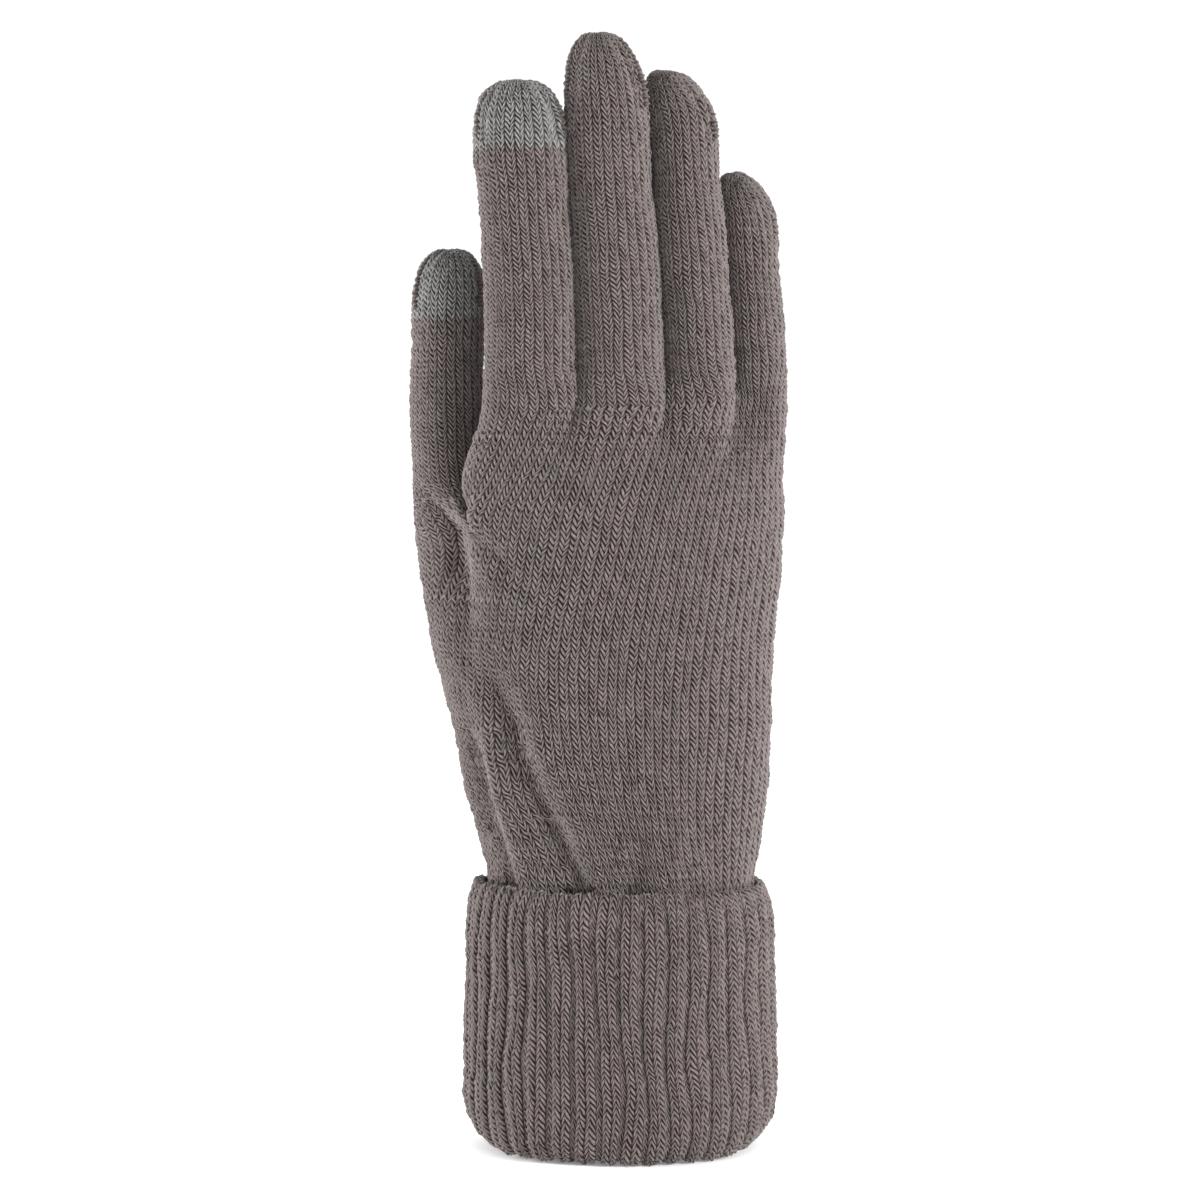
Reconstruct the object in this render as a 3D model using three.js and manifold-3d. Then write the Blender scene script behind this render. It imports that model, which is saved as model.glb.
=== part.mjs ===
// A right-hand knitted touchscreen glove, worn upright: fingers towards +Z, the back of the hand towards -Y,
// the palm towards +Y and the thumb towards -X. Millimetres. The origin is the middle of the wrist opening.
import * as THREE from 'three';
import { mergeVertices } from 'three/addons/utils/BufferGeometryUtils.js';
import Module from 'manifold-3d';

// ---- Driving dimensions ------------------------------------------------------------------------------------
const WALL = 1.6; // thickness of the jersey fabric
const GAP = 0.3; // clearance between pieces that meet
const WRIST_Z = 60; // the jersey of the hand starts here, at the top of the cuff
const CROTCH_Z = 166; // the four finger stalls start here
const THUMB_CROTCH_Z = 136; // the thumb stall starts here
const HAND_POWER = 2.4; // how square the hand's section is: 2 is an ellipse
const ARCH = 0.0065; // how far the little-finger side of the hand falls back, per mm squared

// Stations up the hand: height, middle x, middle y, half width, half depth.
const HAND = [
  [40, 0.0, 0, 28.6, 19.5],
  [60, 0.5, 0, 29.2, 19.5],
  [81, 0.9, 0, 31.2, 17.5],
  [107, 0.6, 0, 32.8, 15.5],
  [134, 0.9, 0, 34.4, 14.0],
  [150, 1.4, 0, 34.6, 13.2],
  [166, 3.1, 0, 33.5, 11.9],
];

// Each digit: the height of its middle joint, where its touch yarn starts (if it has any), the length and
// radius of its rounded tip, and its stations in the same form as the hand's. Neighbours leave each other room
// to bend, each in the plane that its own middle line leans in.
const DIGITS = {
  thumb: {
    root: THUMB_CROTCH_Z, knuckle: 168, touch: 182, tip: 11, radius: 8.4,
    stations: [
      [40, -15.5, 2.0, 9.0, 12.0],
      [60, -19.5, 3.0, 10.0, 13.0],
      [81, -23.5, 5.0, 11.6, 13.5],
      [107, -29.0, 9.0, 11.6, 13.5],
      [121, -32.3, 11.8, 11.8, 13.0],
      [130, -35.8, 16.4, 9.9, 12.0],
      [143, -38.0, 17.6, 8.8, 10.6],
      [157, -38.8, 16.2, 8.3, 9.8],
      [183, -38.7, 12.6, 8.2, 9.2],
      [199.5, -38.4, 11.2, 8.0, 9.0],
    ],
  },
  index: {
    root: CROTCH_Z, knuckle: 197, touch: 222, tip: 11.5, radius: 9.2,
    stations: [
      [166, -20.3, -2.0, 9.7, 8.8],
      [187, -20.6, -1.8, 9.7, 8.7],
      [210, -21.6, -1.0, 9.5, 8.4],
      [225, -22.5, 0.2, 9.7, 8.3],
      [236.5, -22.8, 1.4, 9.5, 8.0],
    ],
  },
  middle: {
    root: CROTCH_Z, knuckle: 201, tip: 12, radius: 8.7,
    stations: [
      [166, -0.1, -1.5, 9.0, 8.8],
      [187, -0.9, -1.3, 9.0, 8.7],
      [210, -2.2, -0.8, 8.8, 8.5],
      [228, -3.3, 0.2, 8.7, 8.3],
      [247, -4.6, 2.0, 8.6, 8.0],
    ],
  },
  ring: {
    root: CROTCH_Z, knuckle: 197, tip: 11, radius: 7.2,
    stations: [
      [166, 17.3, 1.3, 7.2, 8.2],
      [187, 15.9, 1.7, 7.1, 8.1],
      [210, 14.1, 2.6, 7.0, 7.9],
      [228, 12.9, 4.4, 6.8, 7.7],
      [239, 11.6, 6.0, 6.6, 7.5],
    ],
  },
  little: {
    root: CROTCH_Z, knuckle: 188, tip: 10, radius: 6.2,
    stations: [
      [166, 30.6, 7.4, 5.7, 6.9],
      [187, 29.4, 7.7, 5.6, 6.9],
      [205, 28.1, 8.5, 5.6, 6.7],
      [216.5, 26.5, 9.4, 5.5, 6.4],
    ],
  },
};

// The folded cuff, as offsets outwards from the half width and half depth of the wrist.
const CUFF = {
  halfWidth: 29.2, halfDepth: 19.5,
  turnUpIn: 2.0, turnUpOut: 4.8, // inner and outer face of the turned-up layer
  top: 59.2, weltHeight: 3.4, foldHeight: 1.4,
  elasticRadius: 0.45, elasticOut: 1.0, elasticHeights: [14, 30, 46],
};
const SEAM_RADIUS = 0.55; // the linking thread that closes a finger's tip
const SEAM_START = 35; // degrees round the tip from its side to where that thread begins and ends

const AROUND = { hand: 32, thenar: 18, digit: 16, cuff: 32, elasticTube: 5, seamTube: 3 };

// ---- Materials ---------------------------------------------------------------------------------------------
const jersey = () => new THREE.MeshStandardMaterial({ color: 0x8a817d, roughness: 0.95, metalness: 0 });
const touchYarn = () => new THREE.MeshStandardMaterial({ color: 0x8f918e, roughness: 0.8, metalness: 0.05 });
const rib = () => new THREE.MeshStandardMaterial({ color: 0x857b77, roughness: 0.95, metalness: 0 });
const thread = () => new THREE.MeshStandardMaterial({ color: 0x7b7471, roughness: 0.9, metalness: 0 });
const rubber = () => new THREE.MeshStandardMaterial({ color: 0xb9b4ad, roughness: 0.6, metalness: 0 });

// ---- Sections ----------------------------------------------------------------------------------------------
// The section at a height: a smooth curve through the stations.
function sectionAt(stations, z) {
  const last = stations.length - 1;
  let i = 0;
  while (i < last - 1 && z > stations[i + 1][0]) i += 1;
  const [p, q] = [stations[i], stations[i + 1]];
  const before = stations[Math.max(i - 1, 0)];
  const after = stations[Math.min(i + 2, last)];
  const span = q[0] - p[0];
  const t = (z - p[0]) / span;
  const value = (k) => {
    const startSlope = ((q[k] - before[k]) / (q[0] - before[0])) * span;
    const endSlope = ((after[k] - p[k]) / (after[0] - p[0])) * span;
    return (2 * t ** 3 - 3 * t ** 2 + 1) * p[k] + (t ** 3 - 2 * t ** 2 + t) * startSlope
      + (3 * t ** 2 - 2 * t ** 3) * q[k] + (t ** 3 - t ** 2) * endSlope;
  };
  return { x: value(1), y: value(2), halfWidth: value(3), halfDepth: value(4) };
}

// Moves each vertex of a geometry, whose axis is Z, to where place(angle, radius, height) says.
function bend(geometry, place) {
  const position = geometry.getAttribute('position');
  for (let i = 0; i < position.count; i += 1) {
    const [x, y, z] = [position.getX(i), position.getY(i), position.getZ(i)];
    const [u, v, w] = place(Math.atan2(y, x), Math.hypot(x, y), z);
    position.setXYZ(i, u, v, w);
  }
  return geometry;
}

// A closed lathe about Z. The profile is a list of [radius, height].
function turned(profile, segments) {
  const points = profile.map(([r, h]) => new THREE.Vector2(Math.max(r, 0), h));
  return new THREE.LatheGeometry(points, segments).rotateX(Math.PI / 2);
}

const power = (c, n) => Math.sign(c) * Math.abs(c) ** (2 / n);

// ---- Solids and booleans -----------------------------------------------------------------------------------
const wasm = await Module();
wasm.setup();

function toSolid(geometry) {
  const bare = geometry.clone();
  bare.deleteAttribute('normal');
  bare.deleteAttribute('uv');
  const merged = mergeVertices(bare, 1e-3);
  const solid = new wasm.Manifold(new wasm.Mesh({
    numProp: 3,
    vertProperties: new Float32Array(merged.getAttribute('position').array),
    triVerts: new Uint32Array(merged.index.array),
  }));
  return solid;
}

function toGeometry(solid) {
  const mesh = solid.getMesh();
  const geometry = new THREE.BufferGeometry();
  geometry.setAttribute('position', new THREE.BufferAttribute(mesh.vertProperties, 3));
  geometry.setIndex(new THREE.BufferAttribute(mesh.triVerts, 1));
  geometry.computeVertexNormals();
  return geometry;
}

// ---- The hand ----------------------------------------------------------------------------------------------
// The solid inside the hand's surface, or inside its lining when inset is the wall's thickness.
function handLoft(low, high, inset, rows) {
  const geometry = new THREE.CylinderGeometry(1, 1, high - low, AROUND.hand, rows).rotateX(Math.PI / 2);
  geometry.translate(0, 0, (low + high) / 2);
  return toSolid(bend(geometry, (angle, radius, z) => {
    const s = sectionAt(HAND, z);
    const x = s.x + (s.halfWidth - inset) * radius * power(Math.cos(angle), HAND_POWER);
    const arch = ARCH * Math.max(x, 0) ** 2 * THREE.MathUtils.smoothstep(z, WRIST_Z, THUMB_CROTCH_Z);
    return [x, s.y + arch + (s.halfDepth - inset) * radius * power(Math.sin(angle), HAND_POWER), z];
  }));
}

// The ball of the thumb, from inside the wrist up to the thumb's own stall.
function thenarLoft(low, high, inset, rows) {
  const geometry = new THREE.CylinderGeometry(1, 1, high - low, AROUND.thenar, rows).rotateX(Math.PI / 2);
  geometry.translate(0, 0, (low + high) / 2);
  return toSolid(bend(geometry, (angle, radius, z) => {
    const s = sectionAt(DIGITS.thumb.stations, z);
    return [
      s.x + (s.halfWidth - inset) * radius * Math.cos(angle),
      s.y + (s.halfDepth - inset) * radius * Math.sin(angle),
      z,
    ];
  }));
}

// One knitted tube: the palm and the back of the hand with the ball of the thumb, open at the wrist, at the
// thumb and along the finger roots.
function handBody() {
  const past = 1; // how far the lining runs past the open ends, so that the cut is clean
  const outside = handLoft(WRIST_Z + GAP, CROTCH_Z, 0, 9).add(thenarLoft(WRIST_Z + GAP, THUMB_CROTCH_Z, 0, 7));
  const inside = handLoft(WRIST_Z + GAP - past, CROTCH_Z + past, WALL, 9)
    .add(thenarLoft(WRIST_Z + GAP - past, THUMB_CROTCH_Z + past, WALL, 7));
  const mesh = new THREE.Mesh(toGeometry(outside.subtract(inside)), jersey());
  mesh.name = 'hand_body';
  return mesh;
}

// ---- The digits --------------------------------------------------------------------------------------------
// A tube of the digit's section from low to high, or closed by the rounded tip when high is left out.
function stall(digit, low, high) {
  const { radius, tip, stations } = digit;
  const apex = stations[stations.length - 1][0];
  const dome = apex - tip;
  const lining = radius - WALL;
  let profile;
  if (high) {
    const steps = Math.max(2, Math.round((high - low) / 9));
    const levels = Array.from({ length: steps + 1 }, (_, i) => low + ((high - low) * i) / steps);
    profile = [...levels.map((z) => [radius, z]), ...levels.reverse().map((z) => [lining, z])];
    profile.push(profile[0]);
  } else {
    const levels = Array.from({ length: 3 }, (_, i) => low + ((dome - low) * i) / 3);
    const arc = Array.from({ length: 6 }, (_, i) => (Math.PI / 2) * (i / 5));
    const outer = [...levels.map((z) => [radius, z]),
      ...arc.map((a) => [radius * Math.cos(a), dome + tip * Math.sin(a)])];
    const inner = [...levels.map((z) => [lining, z]),
      ...arc.map((a) => [lining * Math.cos(a), dome + (tip - WALL) * Math.sin(a)])];
    outer[outer.length - 1][0] = 0;
    inner[inner.length - 1][0] = 0;
    profile = [...inner.reverse(), ...outer];
  }
  return bend(turned(profile, AROUND.digit), (angle, r, z) => {
    const s = sectionAt(stations, z);
    const [wide, deep] = [(s.halfWidth * r) / radius, (s.halfDepth * r) / radius];
    return [s.x + wide * Math.cos(angle), s.y + deep * Math.sin(angle), z];
  });
}

// The linking thread over the tip, where the front and the back of the stall are closed.
function tipSeam(digit) {
  const { tip, stations } = digit;
  const apex = stations[stations.length - 1][0];
  const clear = SEAM_RADIUS + GAP;
  const points = Array.from({ length: 9 }, (_, i) => {
    const a = THREE.MathUtils.degToRad(SEAM_START + ((180 - 2 * SEAM_START) * i) / 8);
    const z = apex - tip + (tip + clear) * Math.sin(a);
    const s = sectionAt(stations, Math.min(z, apex));
    return new THREE.Vector3(s.x + (s.halfWidth + clear) * Math.cos(a), s.y, z);
  });
  const round = new THREE.Shape().absarc(0, 0, SEAM_RADIUS, 0, 2 * Math.PI);
  return new THREE.ExtrudeGeometry(round, {
    steps: 10, extrudePath: new THREE.CatmullRomCurve3(points), curveSegments: AROUND.seamTube,
  });
}

function named(name, geometry, material) {
  const mesh = new THREE.Mesh(geometry, material);
  mesh.name = name;
  return mesh;
}

// A digit's pieces, each in the group of the part of the digit that it bends with.
function digitGroup(name, digit) {
  const group = new THREE.Group();
  group.add(named(`${name}_lower`, stall(digit, digit.root + GAP, digit.knuckle), jersey()));
  if (digit.touch) {
    group.add(named(`${name}_upper`, stall(digit, digit.knuckle + GAP, digit.touch), jersey()));
    group.add(named(`${name}_touch_tip`, stall(digit, digit.touch + GAP), touchYarn()));
  } else {
    group.add(named(`${name}_upper`, stall(digit, digit.knuckle + GAP), jersey()));
  }
  group.add(named(`${name}_tip_seam`, tipSeam(digit), thread()));
  return group;
}

// ---- The cuff ----------------------------------------------------------------------------------------------
// A ring about the wrist. The profile is a list of [offset outwards from the wrist, height].
function cuffRing(profile, segments) {
  const base = 20; // any radius larger than the deepest inward offset
  const closed = [...profile, profile[0]].map(([out, z]) => [base + out, z]);
  return bend(turned(closed, segments), (angle, r, z) => {
    const out = r - base;
    return [(CUFF.halfWidth + out) * Math.cos(angle), (CUFF.halfDepth + out) * Math.sin(angle), z];
  });
}

function cuffGroup() {
  const { turnUpIn, turnUpOut, top, weltHeight, foldHeight, elasticRadius, elasticOut, elasticHeights } = CUFF;
  const group = new THREE.Group();
  const innerLow = foldHeight + GAP;
  group.add(named('cuff_inner', cuffRing([
    [0, innerLow], [0, 30], [0, WRIST_Z], [-WALL, WRIST_Z], [-WALL, 30], [-WALL, innerLow],
  ], AROUND.cuff), rib()));
  const weltLow = top - weltHeight;
  const bow = 0.7; // the turned-up layer stands out a little at mid height
  group.add(named('cuff_turnup', cuffRing([
    [-WALL, 0], [turnUpOut - 1, 0], [turnUpOut, 1.6], [turnUpOut + bow, 9], [turnUpOut, 32],
    [turnUpOut - 0.3, weltLow - GAP], [turnUpIn, weltLow - GAP], [turnUpIn, foldHeight], [-WALL, foldHeight],
  ], AROUND.cuff), rib()));
  const middle = (turnUpIn + turnUpOut) / 2;
  const round = (turnUpOut - turnUpIn) / 2 + 0.3;
  const welt = Array.from({ length: 8 }, (_, i) => {
    const a = (2 * Math.PI * i) / 8 + Math.PI / 8;
    return [middle + round * Math.cos(a), weltLow + weltHeight / 2 + (weltHeight / 2) * Math.sin(a)];
  });
  group.add(named('cuff_welt', cuffRing(welt, AROUND.cuff), rib()));
  elasticHeights.forEach((z, i) => {
    const loop = Array.from({ length: AROUND.elasticTube }, (_, k) => {
      const a = (2 * Math.PI * k) / AROUND.elasticTube;
      return [elasticOut + elasticRadius * Math.cos(a), z + elasticRadius * Math.sin(a)];
    });
    group.add(named(`wrist_elastic_${i + 1}`, cuffRing(loop, AROUND.cuff), rubber()));
  });
  return group;
}

// ---- The glove ---------------------------------------------------------------------------------------------
const glove = new THREE.Group();
glove.add(handBody());
glove.add(cuffGroup());
for (const [name, digit] of Object.entries(DIGITS)) glove.add(digitGroup(name, digit));

export default glove;
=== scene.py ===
"""A right-hand knitted touchscreen glove, filled as on a hand: plain-knit body, conductive yarn at the tips
of the thumb and the index finger, and a ribbed cuff turned up over itself.

Every knitted piece is a grid of stitches: its base surface is lofted from sections of the hand and the
digits, its rows are sheared into the V of each stitch, and the yarn's relief is pushed out of it. Shapes are
in millimetres until a mesh is built; materials, stage, lights and camera are in metres."""
import math

import bpy
import numpy as np
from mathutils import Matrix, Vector


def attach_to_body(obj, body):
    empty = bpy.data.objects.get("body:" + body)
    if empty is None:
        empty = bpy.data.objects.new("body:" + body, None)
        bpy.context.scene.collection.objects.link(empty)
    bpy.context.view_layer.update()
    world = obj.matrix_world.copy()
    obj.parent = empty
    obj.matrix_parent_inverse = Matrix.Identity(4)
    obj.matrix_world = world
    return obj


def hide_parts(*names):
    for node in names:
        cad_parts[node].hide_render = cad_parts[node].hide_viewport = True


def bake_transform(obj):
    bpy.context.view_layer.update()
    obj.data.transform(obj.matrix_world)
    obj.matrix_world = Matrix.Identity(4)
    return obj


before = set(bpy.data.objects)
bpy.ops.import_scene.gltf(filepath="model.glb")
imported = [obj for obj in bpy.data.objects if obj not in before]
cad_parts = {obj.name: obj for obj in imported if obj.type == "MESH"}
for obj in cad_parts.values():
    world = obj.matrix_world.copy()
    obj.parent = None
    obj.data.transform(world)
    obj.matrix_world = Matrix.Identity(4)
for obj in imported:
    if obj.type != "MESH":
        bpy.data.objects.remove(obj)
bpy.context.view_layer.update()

MM = 0.001

# ---- The knit, in millimetres ----
COURSE = 1.27  # height of a row of stitches on the hand
WRIST_COURSE = 1.46  # the same where the hand leaves the cuff, which pulls the rows apart
FINGER_COURSE = 1.10  # and on the digits, up to their rounded tips
TIP_COURSE = 1.27
ACROSS = 5  # mesh columns in one wale
ALONG = 4  # mesh rows in one course
SLANT = 1.5  # how many courses a leg of the V climbs
APEX_AT = 3 / 5  # where across the wale the V has its lowest point: the yarn's twist pulls it off the middle
RELIEF = 0.60  # how far the yarn stands out of the grooves
FABRIC = 1.1  # thickness of the fabric behind the relief
UNEVEN = 0.22  # how much the relief varies from place to place
CROTCH_FADE = 2.5  # courses over which the V grows on wales that begin at a crotch
TIP_FADE = 4.0  # and over which it fades out at a closed tip

# ---- The hand's sections: height, middle x, middle y, half width, half depth ----
HAND = [
    (40, 0.0, 0, 28.6, 19.5),
    (60, 0.5, 0, 29.2, 19.5),
    (81, 0.9, 0, 31.2, 17.5),
    (107, 0.6, 0, 32.8, 15.5),
    (134, 0.9, 0, 34.4, 14.0),
    (150, 1.4, 0, 34.6, 13.2),
    (166, 3.1, 0, 33.5, 11.9),
]
HAND_POWER = 2.4  # of its rounded sections: 2 is an ellipse, which the wrist is
ARCH = 0.0065  # how far the little-finger side falls back, per mm squared
HAND_LOW = 56.0
CROTCH = 166.0
THUMB_CROTCH = 136.0

# Each digit: its root and its middle joint, the length of its rounded tip, how full the tip is (2 is an
# ellipse), how far it leans to the left as a share of its half width, the height where its touch yarn starts,
# and its sections.
DIGITS = {
    "thumb": dict(root=THUMB_CROTCH, bend=168, tip=11, full=2.2, skew=0.0, touch=184, sections=[
        (40, -15.5, 2.0, 9.0, 12.0),
        (60, -19.5, 3.0, 10.0, 13.0),
        (81, -23.5, 5.0, 11.6, 13.5),
        (107, -29.0, 9.0, 11.6, 13.5),
        (121, -32.3, 11.8, 11.8, 13.0),
        (130, -35.8, 16.4, 9.9, 12.0),
        (143, -38.0, 17.6, 8.8, 10.6),
        (157, -39.1, 16.2, 8.0, 9.8),
        (183, -39.1, 12.6, 7.8, 9.2),
        (199.5, -38.4, 11.2, 8.0, 9.0),
    ]),
    "index": dict(root=CROTCH, bend=197, tip=10.5, full=2.3, skew=0.0, touch=220.5, sections=[
        (166, -20.3, -2.0, 9.9, 8.8),
        (187, -20.35, -1.8, 9.85, 8.7),
        (210, -21.6, -1.0, 9.5, 8.4),
        (225, -22.5, 0.2, 9.7, 8.3),
        (236.5, -22.8, 1.4, 9.5, 8.0),
    ]),
    "middle": dict(root=CROTCH, bend=201, tip=14, full=2.05, skew=0.06, touch=None, sections=[
        (166, -0.1, -1.1, 9.4, 8.8),
        (187, -0.85, -0.4, 9.45, 8.7),
        (210, -2.2, 0.3, 9.0, 8.5),
        (228, -3.3, 1.2, 8.9, 8.3),
        (247, -4.6, 2.8, 8.8, 8.0),
    ]),
    "ring": dict(root=CROTCH, bend=197, tip=13, full=2.1, skew=0.34, touch=None, sections=[
        (166, 17.5, 1.7, 7.8, 8.2),
        (187, 16.2, 2.7, 7.7, 8.1),
        (210, 14.4, 3.7, 7.6, 7.9),
        (228, 13.2, 5.3, 7.3, 7.7),
        (239, 11.7, 6.8, 7.2, 7.5),
    ]),
    "little": dict(root=CROTCH, bend=188, tip=12, full=2.1, skew=0.2, touch=None, sections=[
        (166, 30.5, 7.4, 6.0, 6.9),
        (187, 29.2, 7.7, 6.1, 6.9),
        (205, 27.9, 8.5, 6.1, 6.7),
        (216.5, 26.2, 9.4, 6.1, 6.4),
    ]),
}
TIP_WIDTH, TIP_DEPTH = 0.16, 0.015  # what is left of the half width and half depth at the very tip
FINGERS = ["index", "middle", "ring", "little"]
APEX = {name: digit["sections"][-1][0] for name, digit in DIGITS.items()}

# Wales: on the back and on the palm of each finger, between two fingers, round the outer edge of the hand,
# round the thumb, and between the thumb and the hand.
BACK_WALES = {"index": 7, "middle": 10, "ring": 9, "little": 8}
PALM_WALES = {"index": 9, "middle": 10, "ring": 9, "little": 8}
GUSSET_WALES = 3
EDGE_WALES = 4
THUMB_WALES = 18
WEB_WALES = 8
WEB_SPREAD = 7.0  # how far the wales from the thumb's crotch spread onto the back of the index finger

# Where the wales that lead to each digit part from each other: height, then x of the thumb's, index's,
# middle's and ring's border, on the back of the hand and on the palm.
BORDERS_BACK = [
    (56, -22.0, -9.5, 5.0, 17.0),
    (70, -27.0, -14.5, 2.0, 15.3),
    (80, -31.0, -18.5, 0.0, 15.0),
    (91, -33.8, -21.5, -1.5, 15.3),
    (107, -34.6, -23.2, -1.8, 16.2),
    (120, -33.2, -22.0, -0.3, 17.8),
    (128, -32.6, -20.6, 1.4, 18.8),
    (136, -32.5, -19.2, 3.3, 20.0),
    (150, -33.0, -15.2, 6.3, 22.2),
    (158, -31.6, -12.4, 8.0, 23.8),
    (166, -30.2, -9.9, 9.4, 24.9),
]
BORDERS_PALM = [
    (56, -20.0, -9.0, 3.5, 15.0),
    (80, -27.0, -13.0, 1.5, 15.0),
    (100, -30.0, -15.5, 1.0, 15.5),
    (120, -30.0, -15.5, 2.5, 17.5),
    (136, -27.5, -13.5, 5.0, 20.0),
    (150, -31.0, -12.0, 6.5, 22.0),
    (166, -29.8, -9.9, 9.4, 24.9),
]
SADDLE = 3.6  # half the length of the web between two fingers, from back to palm
VALLEY = 27.0  # how far below the crotch the valleys between the fingers begin


# ---- Small tools ----
def smooth(x, low=0.0, high=1.0):
    """0 below low, 1 above high, and a smooth step between them."""
    t = np.clip((np.asarray(x, float) - low) / (high - low), 0, 1)
    return t * t * (3 - 2 * t)


def mix(a, b, w):
    return a + (b - a) * w


def running(steps):
    """The running total of some steps, from 0."""
    return np.concatenate([[0], np.cumsum(steps)])


def blurred(ring, frequency, blur):
    """Closed rings of values along axis 1, smoothed over a length of blur."""
    keep = np.exp(-2 * (math.pi * frequency * blur) ** 2)
    keep = keep.reshape(keep.shape + (1,) * (ring.ndim - 2))
    return np.fft.irfft(np.fft.rfft(ring, axis=1) * keep, n=ring.shape[1], axis=1)


def along(table, z):
    """The values of a table's columns at each height in z, on a smooth curve through its rows."""
    table = np.array(table, float)
    z = np.clip(np.atleast_1d(np.asarray(z, float)), table[0, 0], table[-1, 0])
    i = np.clip(np.searchsorted(table[:, 0], z, side="right") - 1, 0, len(table) - 2)
    p, q = table[i], table[i + 1]
    before, after = table[np.maximum(i - 1, 0)], table[np.minimum(i + 2, len(table) - 1)]
    span = (q[:, 0] - p[:, 0])[:, None]
    t = (z[:, None] - p[:, :1]) / span
    start = (q - before)[:, 1:] / (q - before)[:, :1] * span
    end = (after - p)[:, 1:] / (after - p)[:, :1] * span
    return ((2 * t**3 - 3 * t**2 + 1) * p[:, 1:] + (t**3 - 2 * t**2 + t) * start
            + (3 * t**2 - 2 * t**3) * q[:, 1:] + (t**3 - t**2) * end)


def soft_min(a, b, k):
    h = np.clip(0.5 + 0.5 * (b - a) / k, 0, 1)
    return mix(b, a, h) - k * h * (1 - h)


def waves(x, y, seed, count=7, low=0.02, high=0.09):
    """A smooth random field of about unit height: a seeded sum of plane waves. low and high are their
    frequencies, in cycles per millimetre."""
    rng = np.random.default_rng(seed)
    total = 0
    for _ in range(count):
        angle = rng.uniform(0, math.tau)
        frequency = rng.uniform(low, high)
        phase = rng.uniform(0, math.tau)
        total = total + np.sin(math.tau * frequency * (x * math.cos(angle) + y * math.sin(angle)) + phase)
    return total / math.sqrt(count / 2) / 1.6


# ---- Outlines of the hand ----
def bulge(x, middle, half, depth, power):
    """Height of a rounded section above its middle line, falling away steeply outside it."""
    u = np.abs((x - middle) / half)
    inside = depth * np.clip(1 - np.minimum(u, 1) ** power, 0, 1) ** (1 / power)
    return np.where(u < 1, inside, -3.0 * (u - 1) * half)


def hand_faces(x, z):
    """y of the back and of the palm of the hand, without the thumb, at x and z."""
    middle, centre, half, depth = (v[:, None] for v in along(HAND, z).T)
    arch = ARCH * np.maximum(x, 0) ** 2 * smooth(z, 60, 138)[:, None]
    rise = bulge(x, middle, half, depth, mix(2.0, HAND_POWER, smooth(z, 56, 82))[:, None])
    return centre + arch - rise, centre + arch + rise


def arches(x, z, side):
    """y of the row of finger roots: an arch over each finger, meeting its neighbours at the webs."""
    edges = hand_edge(z)
    bounds = [edges[:, 0], *along(BORDERS_BACK, z)[:, 1:].T, edges[:, 1]]
    webs = web_depths()
    y = np.zeros_like(x)
    for i, name in enumerate(FINGERS):
        centre, _, depth = DIGITS[name]["sections"][0][2:]
        left, right = bounds[i][:, None], bounds[i + 1][:, None]
        u = np.clip((2 * x - left - right) / (right - left), -1, 1)
        near, far = webs[i] + side * SADDLE * (i > 0), webs[i + 1] + side * SADDLE * (i < 3)
        top = centre + side * depth
        foot = np.where(u < 0, near, far)
        arch = top + (foot - top) * (1 - (1 - np.abs(u) ** 2.3) ** (1 / 2.3))
        y = np.where((x >= left) | (i == 0), arch, y)
    return y


def web_depths():
    """y of the index finger's outer edge, of the three webs, and of the little finger's outer edge."""
    centres = [DIGITS[name]["sections"][0][2] for name in FINGERS]
    between = [(a + b) / 2 for a, b in zip(centres, centres[1:])]
    return [centres[0], *between, centres[-1]]


def hand_edge(z):
    """x of the thumb's side and of the outer side of the hand, without the thumb."""
    middle, _, half, _ = along(HAND, z).T
    return np.column_stack([middle - half, middle + half])


FACE_POINTS = 260  # across each face of the hand
LOOP_POINTS = 720  # round each outline
FACE_END = 0.12  # share of the width over which the two faces are drawn together at each side
WALE_BLUR = 2.2  # wales over which their widths even out where two runs part
OUTER_EDGE = 1.6  # how far inside the hand's outer side the wales round its edge begin
THUMB_SIDE = 1.2  # and the same on the thumb's side, above the thumb
THUMB_GROWN = 14.0  # height over which the thumb and the hand reach their own sections above the crotch
FINGER_GROWN = 9.0  # and the fingers above theirs


def loops_from_faces(x, back, palm, blur):
    """Closed outlines, evenly spaced, from the two faces of each row, and the arc lengths along both faces.
    blur is each row's smoothing, in millimetres."""
    gap = (palm - back)[:, [0, -1]] / 2
    reach = np.linspace(0, 1, x.shape[1])
    left, right = (np.clip(1 - off / FACE_END, 0, 1) ** 2 for off in (reach, 1 - reach))
    pull = gap[:, :1] * left + gap[:, 1:] * right
    back, palm = back + pull, palm - pull
    px = np.concatenate([x, x[:, -2:0:-1]], axis=1)
    py = np.concatenate([back, palm[:, -2:0:-1]], axis=1)
    closed_x = np.concatenate([px, px[:, :1]], axis=1)
    closed_y = np.concatenate([py, py[:, :1]], axis=1)
    steps = np.hypot(np.diff(closed_x), np.diff(closed_y))
    arc = np.concatenate([np.zeros((len(x), 1)), np.cumsum(steps, axis=1)], axis=1)
    even = np.empty((len(x), LOOP_POINTS, 2))
    for r in range(len(x)):
        at = np.linspace(0, arc[r, -1], LOOP_POINTS, endpoint=False)
        even[r, :, 0] = np.interp(at, arc[r], closed_x[r])
        even[r, :, 1] = np.interp(at, arc[r], closed_y[r])
    frequency = np.fft.rfftfreq(LOOP_POINTS)[None, :] * LOOP_POINTS / arc[:, -1:]
    return blurred(even, frequency, np.reshape(blur, (-1, 1))), arc / arc[:, -1:]


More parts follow.
